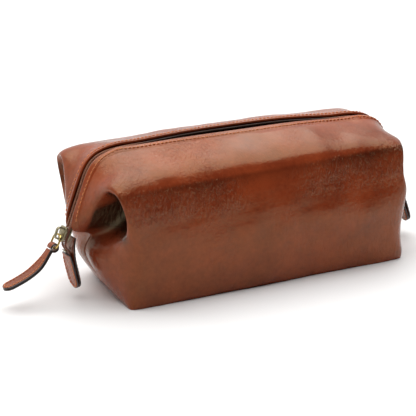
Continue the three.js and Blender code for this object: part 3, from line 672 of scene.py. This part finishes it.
# ---- zip line, as in the CAD: a curve in the XZ plane ----
SLOPE_ANGLE = math.radians(69)
SLIDER_CENTRE = np.array([-166.6, 57])
UP_SLOPE = np.array([math.cos(SLOPE_ANGLE), math.sin(SLOPE_ANGLE)])
OFF_SLOPE = np.array([-UP_SLOPE[1], UP_SLOPE[0]])


def on_slope(up, off=0.0):
    return SLIDER_CENTRE + UP_SLOPE * up + OFF_SLOPE * off


TAB_TOPS = {"left": np.array([-165, 40.4]), "right": np.array([162.4, 43])}
TAB_BOTTOMS = {"left": np.array([-157.5, 9]), "right": np.array([173, 13])}


def on_tab(end, down):
    return TAB_TOPS[end] + unit(TAB_BOTTOMS[end] - TAB_TOPS[end]) * down


def mirror_right(p):
    moved = sag_right_end(np.array([-p[0], 0, p[1]], float))
    return moved[[0, 2]]


SLOPE_STEPS = [-10, 0, 12, 24, 36, 48, 59]
LEFT_RIDGE = [(-136.8, 121), (-122, 124.4), (-104, 124.8), (-86, 124.3), (-50, 124.7)]
left_slope = [on_slope(up) for up in SLOPE_STEPS]
ZIP_POINTS = np.array([on_tab("left", 12), on_tab("left", 4), on_tab("left", -4), *left_slope, *LEFT_RIDGE,
                       (0, 123.3), *map(mirror_right, LEFT_RIDGE[::-1]),
                       *map(mirror_right, left_slope[:0:-1]), (161.3, 51.5), on_tab("right", -4),
                       on_tab("right", 4), on_tab("right", 12)], float)
LAST_ZIP = len(ZIP_POINTS) - 1


def zip_marks(start, end, spacing):
    """Positions along the zip at an even spacing in millimetres."""
    fine = np.linspace(start, end, 4000)
    lengths = lengths_along(spline(ZIP_POINTS, fine))
    count = int(lengths[-1] / spacing)
    return np.interp(np.arange(count + 1) * spacing, lengths, fine)


def zip_frames(at):
    """Place, direction and outward direction, as points and vectors in 3D."""
    place = spline(ZIP_POINTS, at)
    ahead = spline(ZIP_POINTS, np.minimum(at + 0.01, LAST_ZIP))
    behind = spline(ZIP_POINTS, np.maximum(at - 0.01, 0))
    along = unit(ahead - behind)
    lift = lambda flat: np.stack([flat[:, 0], 0 * flat[:, 0], flat[:, 1]], 1)
    return lift(place), lift(along), lift(np.stack([-along[:, 1], along[:, 0]], 1))


LIP_HALF_GAP, MOUTH_EXTRA = 4.6, 4.0       # half the space between the lips, and its growth to the middle


def mouth_growth(x):
    return MOUTH_EXTRA * (1 - smooth_step(abs(x), 30, 112))


TOOTH_PITCH = 1.7
TEETH_FROM = 2.02                # marks along the zip's points, from either end
TOOTH_RINGS = [(0.0, 0.38, 0.65), (0.22, 0.66, 1.0), (0.7, 0.68, 1.08), (1.05, 0.42, 0.85), (1.6, 0.48, 0.9),
               (2.2, 0.52, 0.75)]
TOOTH_CORNERS = [(1, 0.45), (0.6, 1), (-0.6, 1), (-1, 0.45), (-1, -0.45), (-0.6, -1), (0.6, -1), (1, -0.45)]


def zip_teeth(name, node, side):
    at = zip_marks(TEETH_FROM, LAST_ZIP - TEETH_FROM, TOOTH_PITCH)
    if side > 0:
        at = (at[1:] + at[:-1]) / 2
    place, along, outward = zip_frames(at)
    batch = Batch()
    for p, t, n in zip(place, along, outward):
        start = TOOTH_GAP + mouth_growth(p[0])
        rings = []
        for across, half_length, half_height in TOOTH_RINGS:
            centre = p + np.array([0, side * (start + across), 0])
            rings.append([centre + t * half_length * a + n * half_height * h for a, h in TOOTH_CORNERS])
        batch.add(rings)
    batch.piece(name, [TEETH], "bag", "zip_coil", nodes=[node])


# The tape's section: the corded edge as (share of the shown width, half height), then the shares of
# the part behind the leather.
TAPE_CORD = [(0.0, 0.30), (0.15, 0.62), (0.45, 0.75), (0.75, 0.62), (1.0, 0.35)]
TAPE_HIDDEN = (0.25, 0.5, 0.75, 0.95)


def zip_tape(name, node, side):
    """A woven tape with a corded edge among the teeth, running in behind the leather."""
    at = zip_marks(0, LAST_ZIP, 1.2)
    place, _, outward = zip_frames(at)
    start = TOOTH_GAP + mouth_growth(place[:, 0]) + 1.5
    cover = smooth_step(at, 5.2, 6.2) * (1 - smooth_step(at, LAST_ZIP - 6.2, LAST_ZIP - 5.2))
    lip = np.maximum(LIP_HALF_GAP + mouth_growth(place[:, 0]) - 1.0, start + 0.9)
    wide = np.maximum(TAPE_UNDER_LEATHER * cover, 0.25)
    dip, fall = TAPE_DIP * cover, TAPE_TILT * wide + TAPE_STEP * cover
    rings = []
    for k, p in enumerate(place):
        section = [(start[k] + share * (lip[k] - start[k]), -dip[k] * share, h) for share, h in TAPE_CORD]
        section += [(lip[k] + s * wide[k], -dip[k] - s * fall[k], TAPE_THICKNESS / 2) for s in TAPE_HIDDEN]
        section += [(lip[k] + wide[k], -dip[k] - fall[k], 0.15)]
        ripple = 0.05 * math.sin(k * 1.7)
        above = [(a, b + h + ripple) for a, b, h in section]
        below = [(a, b - h) for a, b, h in section[::-1]]
        rings.append([p + np.array([0, side * a, 0]) + outward[k] * h for a, h in above + below])
    make_piece(name, np.array(rings), tube(rings), [TAPE_CLOTH], "bag", "zip_tape", [node])


for word, side in SIDES.items():
    zip_teeth(f"{word}_teeth", f"{word}_zip_teeth", side)
    zip_tape(f"{word}_tape", f"{word}_zip_tape", side)


def rounded_box(local, length, width, height, bevel=0.25):
    """Rings of a block with softened edges; local maps (along, across, up) to the bag's frame."""
    rings = []
    for up, inset in ((0, bevel), (bevel, 0), (height - bevel, 0), (height, bevel)):
        a, w = length / 2 - inset, width / 2 - inset
        cut = min(bevel * 1.5, a, w)
        corners = [(a, w - cut), (a - cut, w), (-a + cut, w), (-a, w - cut), (-a, -w + cut), (-a + cut, -w),
                   (a - cut, -w), (a, -w + cut)]
        rings.append([local(x, y, up) for x, y in corners])
    return rings


STOP_LENGTH, STOP_THICKNESS, STOP_MARK = 2.0, 0.8, 2.15


def zip_stop(name, node, at):
    """A small pressed clamp over both rows of teeth."""
    place, along, outward = (v[0] for v in zip_frames(np.array([at])))
    low = TOOTH_HEIGHT / 2 + GAP
    local = lambda a, w, up: place + along * a + np.array([0, w, 0]) + outward * (low + up)
    batch = Batch()
    batch.add(rounded_box(local, STOP_LENGTH, 2 * (TOOTH_GAP + TOOTH_WIDTH), STOP_THICKNESS, 0.2))
    batch.piece(name, [OLD_BRASS], "bag", "old_brass", nodes=[node])


zip_stop("bottom_stop", "zip_bottom_stop", STOP_MARK)
zip_stop("top_stop", "zip_top_stop", LAST_ZIP - STOP_MARK)

# ---- lining: a cloth pouch with soft folds, sewn to the tape at the mouth ----
LINING_LEVELS = np.array([
    (3.9, 96, 42), (8, 104, 48), (25, 110, 53), (60, 108, 55), (84, 106, 53), (98, 103, 49), (106, 100, 43),
    (110, 96, 34), (113, 90, 24), (117.0, 84, 15.5)], float)
LINING_AROUND = 220
LINING_THICKNESS = 0.8
LINING_FLOOR = LINING_LEVELS[0, 0]


def lining_pouch():
    at = np.linspace(0, len(LINING_LEVELS) - 1, 70)
    levels = interpolate(at, np.arange(len(LINING_LEVELS)), LINING_LEVELS)
    angle = np.arange(LINING_AROUND) * (2 * math.pi / LINING_AROUND)
    rounded = lambda v: np.sign(v) * abs(v) ** 0.45
    x = levels[:, 1:2] * rounded(np.cos(angle))
    y = levels[:, 2:3] * rounded(np.sin(angle))
    z = levels[:, 0:1] + 0 * x
    z = z - RIDGE_SAG * smooth_step(x, 0, BASE_LENGTH * 0.48) * (z / LIP_HEIGHT) ** 2
    outer = np.stack([x, y, z], -1)
    folds = smooth_step(z, 8, 40) * (1 - smooth_step(z, 100, 114))
    squeeze = 1.6 * (1 + waves(outer * (1, 1, 0.25), 26, 3)) * folds + 0.6 * folds
    inward = unit(outer * (1, 1, 0)) * squeeze[..., None]
    outer = outer - inward
    inner = outer - unit(outer * (1, 1, 0)) * LINING_THICKNESS
    inner[0, :, 2] += LINING_THICKNESS
    floor_ring = lambda level, height, share: np.concatenate(
        [level[:, :2] * share, np.full((len(level), 1), height)], 1)
    shares = np.linspace(0.06, 0.94, 14)
    rings = [floor_ring(outer[0], LINING_FLOOR, share) for share in shares] + list(outer)
    rings += list(inner[::-1])
    rings += [floor_ring(inner[0], LINING_FLOOR + LINING_THICKNESS + 0.1, share) for share in shares[::-1]]
    make_piece("lining_cloth", np.concatenate(rings), tube(rings), [LINING_CLOTH], "bag", "lining_cloth",
               ["lining"])


lining_pouch()


# ---- slider and bail ----
def slope_point(up, across, off):
    flat = on_slope(up, off)
    return np.array([flat[0], across, flat[1]])


CORE_BOTTOM = TOOTH_HEIGHT / 2 + GAP
PLATE_TOP = TOOTH_HEIGHT / 2 + 0.6
CAP_BOTTOM = ZIP_DEPTH + 0.6
PLATE_THICKNESS = 1.2
CAP_TOP = CAP_BOTTOM + PLATE_THICKNESS


def smooth_outline(points, steps=8):
    """A closed smooth outline through corner points, rounded by a closed spline."""
    corners = np.array(points, float)
    wrapped = np.concatenate([corners[-2:], corners, corners[:3]])
    return spline(wrapped, np.arange(len(corners) * steps) / steps + 2)


def plate_rings(outline, low, high, bevel=0.3):
    size = np.abs(outline).max(0)
    rings = []
    for off, inset in ((low, bevel), (low + bevel * 0.3, bevel * 0.3), (low + bevel, 0), (high - bevel, 0),
                       (high - bevel * 0.3, bevel * 0.3), (high, bevel)):
        scaled = outline * (1 - inset / size)
        rings.append([slope_point(a, w, off) for a, w in scaled])
    return rings


SLIDER_OUTLINE = [(6.75, 3.6), (6.9, 0), (6.75, -3.6), (6.0, -5.2), (3.0, -5.4), (-1.0, -4.7), (-5.6, -4.0),
                  (-6.8, -3.0), (-6.8, 3.0), (-5.6, 4.0), (-1.0, 4.7), (3.0, 5.4), (6.0, 5.2)]
WEDGE_OUTLINE = [(5.8, 0.7), (5.8, -0.7), (1.2, -0.5), (1.2, 0.5)]
CORE_SHARE, BOTTOM_SHARE = (0.86, 0.68), (0.97, 0.62)      # of the top plate's length and width
RAIL_LENGTH, RAIL_WIDTH, RAIL_HEIGHT, RAIL_ACROSS, RAIL_BOTTOM = 8.4, 0.7, 0.8, 4.05, CAP_BOTTOM - 0.45


def slider_piece():
    """Top plate, core, wedge between the rows of teeth, bottom plate and the two rails."""
    top_plate = smooth_outline(SLIDER_OUTLINE)
    slider = Batch()
    slider.add(plate_rings(top_plate, CAP_BOTTOM, CAP_TOP))
    slider.add(plate_rings(top_plate * CORE_SHARE, CORE_BOTTOM, CAP_BOTTOM + 0.2, 0.2))
    slider.add(plate_rings(smooth_outline(WEDGE_OUTLINE), -PLATE_TOP - 0.1, CORE_BOTTOM + 0.1, 0.05))
    slider.add(plate_rings(top_plate * BOTTOM_SHARE, -PLATE_TOP - PLATE_THICKNESS, -PLATE_TOP))
    for hand in (-1, 1):
        rail = lambda a, w, up, hand=hand: slope_point(a, hand * RAIL_ACROSS + w, RAIL_BOTTOM + up)
        slider.add(rounded_box(rail, RAIL_LENGTH, RAIL_WIDTH, RAIL_HEIGHT, 0.2))
    slider.piece("slider", [OLD_BRASS], "slider", "old_brass", nodes=["zip_slider"])


slider_piece()

BAIL_LENGTH, BAIL_HEIGHT, BAIL_BAR, BAIL_WIDTH, BAIL_BEND = 11, 6, 1.5, 3.2, 2.2


def superellipse(width, height, sides=16, power=0.55):
    turn = np.arange(sides) * (2 * math.pi / sides)
    rounded = lambda v: np.sign(v) * abs(v) ** power
    return np.stack([width / 2 * rounded(np.cos(turn)), height / 2 * rounded(np.sin(turn))], 1)


def bail_piece():
    """The bridge that the ring hangs in: a bar bent down at both ends onto the slider."""
    half, top = (BAIL_LENGTH - BAIL_BAR) / 2, BAIL_HEIGHT - BAIL_BAR / 2
    arc = np.linspace(0, math.pi / 2, 9)
    lower = np.array([(half, 0.0), (half, 1.0)])
    bend = (half - BAIL_BEND, top - BAIL_BEND) + BAIL_BEND * np.stack([np.cos(arc), np.sin(arc)], 1)
    right = np.concatenate([lower, bend])
    path = np.concatenate([right, [(0.0, top)], right[::-1] * (-1, 1)])
    section = superellipse(BAIL_WIDTH, BAIL_BAR)
    rings = []
    for (up, off), sideways in zip(path, side_of(path)):
        flare = 1.0 + 0.5 * (1 - smooth_step(off, 0.2, 1.6))
        centre = np.array([up, CAP_TOP + 0.05 + off])
        rings.append([slope_point(*np.insert(centre + sideways * t, 1, w * flare)) for w, t in section])
    bridge = Batch()
    bridge.add(rings)
    bridge.piece("bail", [OLD_BRASS], "slider", "old_brass", nodes=["slider_bail"])


bail_piece()

# ---- ring ----
RING_PIVOT = on_slope(-1.2, CAP_TOP + GAP + 0.8 + RING_WIRE + 0.6)
RING_DIRECTION = unit(np.array([-0.45, -0.89]))
RING_LOWER = RING_PIVOT + RING_DIRECTION * 2 * RING_RADIUS
RING_CENTRE = (RING_PIVOT + RING_LOWER) / 2


def ring_piece():
    turn = np.arange(96) * (2 * math.pi / 96)
    rounded = lambda v: np.sign(v) * abs(v) ** 0.6
    flat = RING_CENTRE + RING_DIRECTION * (RING_RADIUS * rounded(np.sin(turn)))[:, None]
    centre = np.stack([flat[:, 0], RING_RADIUS * rounded(np.cos(turn)), flat[:, 1]], 1)
    for _ in range(3):
        centre = (np.roll(centre, 1, 0) + 2 * centre + np.roll(centre, -1, 0)) / 4
    along = unit(np.roll(centre, -1, 0) - np.roll(centre, 1, 0))
    across = np.array([RING_DIRECTION[1], 0, -RING_DIRECTION[0]])
    beside = np.cross(along, across)
    sides = np.arange(16) * (2 * math.pi / 16)
    rings = centre[:, None] + RING_WIRE * (np.cos(sides)[None, :, None] * across
                                           + np.sin(sides)[None, :, None] * beside[:, None])
    wire = Batch()
    wire.add(rings, closed=True)
    wire.piece("ring", [BRIGHT_BRASS], "ring", "bright_brass", nodes=["pull_ring"])


ring_piece()

# ---- leather leaves: the strap and the end tabs ----
EDGE_INSET = 1.9                # stitches from the cut edge
PROFILE_STEPS = 14


def leaf_section(half_width, half_thickness, dome):
    """Points round a leaf's cross-section: (across, up), with a flag for the painted edge."""
    radius = min(half_thickness, half_width)
    across = np.linspace(-1, 1, PROFILE_STEPS + 1) * (half_width - radius)
    inset = half_width - abs(across) - EDGE_INSET
    raised = dome * (1 - (across / max(half_width, 0.1)) ** 2) - 0.16 * np.exp(-(inset / 0.5) ** 2)
    top = np.stack([across, half_thickness + raised * smooth_step(half_width, 0.8, 3)], 1)
    turn = np.linspace(math.pi / 2, -math.pi / 2, 7)[1:-1]
    right = np.stack([half_width - radius + radius * np.cos(turn), half_thickness * np.sin(turn)], 1)
    bottom = np.stack([across[::-1], np.full(len(across), -half_thickness)], 1)
    left = right[::-1] * (-1, 1)
    return np.concatenate([top, right, bottom, left]), len(top), len(right)


def leaf_rings(path, normals, widths, thickness, dome):
    """Rings of points along a leaf, and the material of each face: 1 on the painted edge."""
    rings = []
    for p, n, w in zip(path, normals, widths):
        section, top_count, side_count = leaf_section(max(w, 0.12), thickness / 2, dome)
        rings.append([(p[0] + n[0] * h, a, p[1] + n[1] * h) for a, h in section])
    kind = np.zeros(len(rings[0]), int)
    kind[top_count - 1:top_count + side_count] = 1
    kind[2 * top_count + side_count - 1:] = 1
    return rings, np.concatenate([np.tile(kind, len(rings) - 1), [1, 1]])


def tongue_widths(distance, total, start_width, full_width, widen_by):
    """Half widths along a tongue: widening from its start, with a round end."""
    grown = start_width + (full_width - start_width) * smooth_step(distance, 0, widen_by)
    into_end = np.clip(distance - (total - full_width), 0, full_width)
    return np.minimum(grown, np.sqrt(np.maximum(full_width ** 2 - into_end ** 2, 0)))


def leaf_path(points, count, total_round):
    """Resamples a path evenly, then more finely towards its round end."""
    fine = spline(np.array(points, float), np.linspace(0, len(points) - 1, 600))
    lengths = lengths_along(fine)
    total = lengths[-1]
    straight = np.linspace(0, total - total_round, count)
    bend = total - total_round + total_round * np.sin(np.linspace(0, math.pi / 2, 18)[1:])
    at = np.concatenate([straight, bend])
    return interpolate(at, lengths, fine), at, total


EDGE_STITCH_PITCH, EDGE_STITCH_LENGTH, EDGE_THREAD_RADIUS = 3.3, 2.6, 0.36


def edge_stitches(batch, path, at, widths, height, hint, skip_start):
    """Stitches along both edges of a leaf and round its end, on the upper face."""
    outline = np.stack([at, widths], 1)
    inner = outline - side_of(outline) * EDGE_INSET
    inner = inner[(inner[:, 0] > skip_start) & (inner[:, 1] > 0)]
    half = inner[np.argsort(inner[:, 0], kind="stable")]
    loop = np.concatenate([half, half[::-1] * (1, -1)])
    base = interpolate(loop[:, 0], at, path)
    out = interpolate(loop[:, 0], at, side_of(path) * hint)
    base = np.stack([base[:, 0], loop[:, 1], base[:, 1]], 1)
    normal = unit(np.stack([out[:, 0], 0 * out[:, 0], out[:, 1]], 1))
    add_stitches(batch, base + normal * height, normal, EDGE_STITCH_PITCH, EDGE_STITCH_LENGTH,
                 EDGE_THREAD_RADIUS)


STRAP_SHAPE = [(-3, -1.6), (-9.5, -10), (-17, -16.8), (-26.5, -21.8), (-36.5, -25.4), (-47, -28.6)]


EYE_RADIUS, EYE_HALF_WIDTH = 3.3, 3.9
STRAP_DOME, STRAP_BACK_DOME = 0.35, 0.2


def strap_pieces():
    """One strip folded round the ring's lower bar and sewn to itself: two leaves and an eye."""
    leaf = STRAP_THICKNESS / 2 - 0.06
    path, at, total = leaf_path([RING_LOWER + p for p in STRAP_SHAPE], 46, STRAP_WIDTH / 2)
    widths = tongue_widths(at, total, 4.1, STRAP_WIDTH / 2, 20)
    out = side_of(path)
    top_side = 1 if out[len(out) // 2][1] > 0 else -1
    raised = out * top_side * (leaf / 2 + 0.05)
    turn = np.linspace(-2.62, 2.62, 30)[:, None]
    toward = unit(path[0] - RING_LOWER)
    beside = np.array([-toward[1], toward[0]])
    eye = RING_LOWER + EYE_RADIUS * (beside * np.sin(turn) - toward * np.cos(turn))
    strips = [(path + raised, side_of(path + raised) * top_side, widths, STRAP_DOME),
              (path - raised, side_of(path - raised) * -top_side, widths, STRAP_BACK_DOME),
              (eye, unit(eye - RING_LOWER), np.full(len(eye), EYE_HALF_WIDTH), 0.15)]
    points, faces, slots, count = [], [], [], 0
    for strip, normals, half_widths, dome in strips:
        rings, face_slots = leaf_rings(strip, normals, half_widths, leaf, dome)
        faces += tube(rings, start=count)
        slots.append(face_slots)
        points.append(np.array(rings).reshape(-1, 3))
        count += len(points[-1])
    make_piece("strap", np.concatenate(points), faces, [COGNAC, EDGE], "strap", "body_leather",
               ["pull_strap"], np.concatenate(slots))
    stitches = Batch()
    for hint, dome in ((top_side, STRAP_DOME), (-top_side, STRAP_BACK_DOME)):
        edge_stitches(stitches, path, at, widths, leaf + 0.05 + dome * 0.45, hint, 6)
    stitches.piece("strap_stitches", [THREAD], "strap", "body_leather")


# the left inner leaf runs on up behind the slider
COLLAR = [(-161, 54.6), (-162.3, 50.5), (-163.1, 45)]


def tab_pieces(end):
    """Two leaves sewn over the zip's tail."""
    top, bottom = TAB_TOPS[end], TAB_BOTTOMS[end]
    path, tongue_at, length = leaf_path([top, (top * 2 + bottom) / 3, (top + bottom * 2) / 3, bottom], 22,
                                        TAB_WIDTH / 2)
    tongue = tongue_widths(tongue_at, length, TAB_WIDTH / 2 - 1, TAB_WIDTH / 2, 8)
    down = unit(bottom - top)
    outward = np.array([-down[1], down[0]]) * np.sign(top[0])
    along_sign = 1 if np.dot(np.array([-down[1], down[0]]), outward) > 0 else -1
    offset = TAPE_THICKNESS / 2 + GAP + TAB_LEAF / 2
    stitches = Batch()
    for word, sign, skin in (("outer", 1, COGNAC), ("inner", -1, INNER_LEATHER)):
        slot = "body_leather" if word == "outer" else "tab_back_leather"
        closing = 1 - 0.3 * smooth_step(tongue_at, 12, length)
        line = path + outward * (sign * offset * closing)[:, None]
        at, widths = tongue_at, tongue
        if word == "inner" and end == "left":
            line, at, total = leaf_path([*COLLAR, *line[4::6], line[-1]], 34, TAB_WIDTH / 2)
            widths = tongue_widths(at, total, TAB_WIDTH / 2 - 1.5, TAB_WIDTH / 2, 12)
        face_side = sign * along_sign
        rings, face_slots = leaf_rings(line, side_of(line) * face_side, widths, TAB_LEAF, 0.3)
        make_piece(f"{end}_tab_{word}_leaf", np.array(rings), tube(rings), [skin, EDGE], "bag", slot,
                   [f"{end}_tab_{word}"], face_slots)
        edge_stitches(stitches, line, at, widths, TAB_LEAF / 2 + 0.13, face_side, 1.5)
    stitches.piece(f"{end}_tab_stitches", [THREAD], "bag", "body_leather")


strap_pieces()
tab_pieces("left")
tab_pieces("right")

# ---- floor and light ----
FLOOR_HALF = 6                   # m
floor_mesh = bpy.data.meshes.new("floor")
floor_corners = [(x * FLOOR_HALF, y * FLOOR_HALF, 0) for x, y in ((-1, -1), (1, -1), (1, 1), (-1, 1))]
floor_mesh.from_pydata(floor_corners, [], [(0, 1, 2, 3)])
floor_mesh.materials.append(floor_material())
floor = bpy.data.objects.new("floor", floor_mesh)
scene.collection.objects.link(floor)

world = bpy.data.worlds.new("studio")
scene.world = world
world.use_nodes = True


# A white sweep stands behind the bag and the room in front of it is dark.
sky = world.node_tree
heading = add_node(sky, "SeparateXYZ", {0: add_node(sky, "TexCoord").outputs["Generated"]})
sweep = add_node(sky, "MapRange", {"Value": heading.outputs["Y"], "From Min": 0.05, "From Max": 0.6,
                                   "To Min": 0.05, "To Max": 1.0}, interpolation_type="SMOOTHSTEP")
zenith = add_node(sky, "MapRange", {"Value": heading.outputs["Z"], "From Min": 0.75, "From Max": 0.95,
                                    "To Min": 0.0, "To Max": 0.6}, interpolation_type="SMOOTHSTEP")
glow = add_node(sky, "Math", {0: sweep.outputs[0], 1: zenith.outputs[0]}, operation="MAXIMUM")
feed(sky, sky.nodes["Background"].inputs["Strength"], glow.outputs[0])
feed(sky, sky.nodes["Background"].inputs["Color"], (1.0, 0.98, 0.95, 1))
scene.view_settings.view_transform = "Standard"


LAMP_PLACE, LAMP_TARGET = Vector((0.0, 0.25, 1.3)), Vector((0, 0.25, 0))
lamp_data = bpy.data.lights.new("overhead", "AREA")
lamp_data.shape = "RECTANGLE"
lamp_data.size, lamp_data.size_y = 2.2, 1.6
lamp_data.energy = 31
lamp = bpy.data.objects.new("overhead", lamp_data)
lamp.location = LAMP_PLACE
lamp.rotation_mode = "QUATERNION"
lamp.rotation_quaternion = (LAMP_PLACE - LAMP_TARGET).to_track_quat("Z", "Y")
scene.collection.objects.link(lamp)
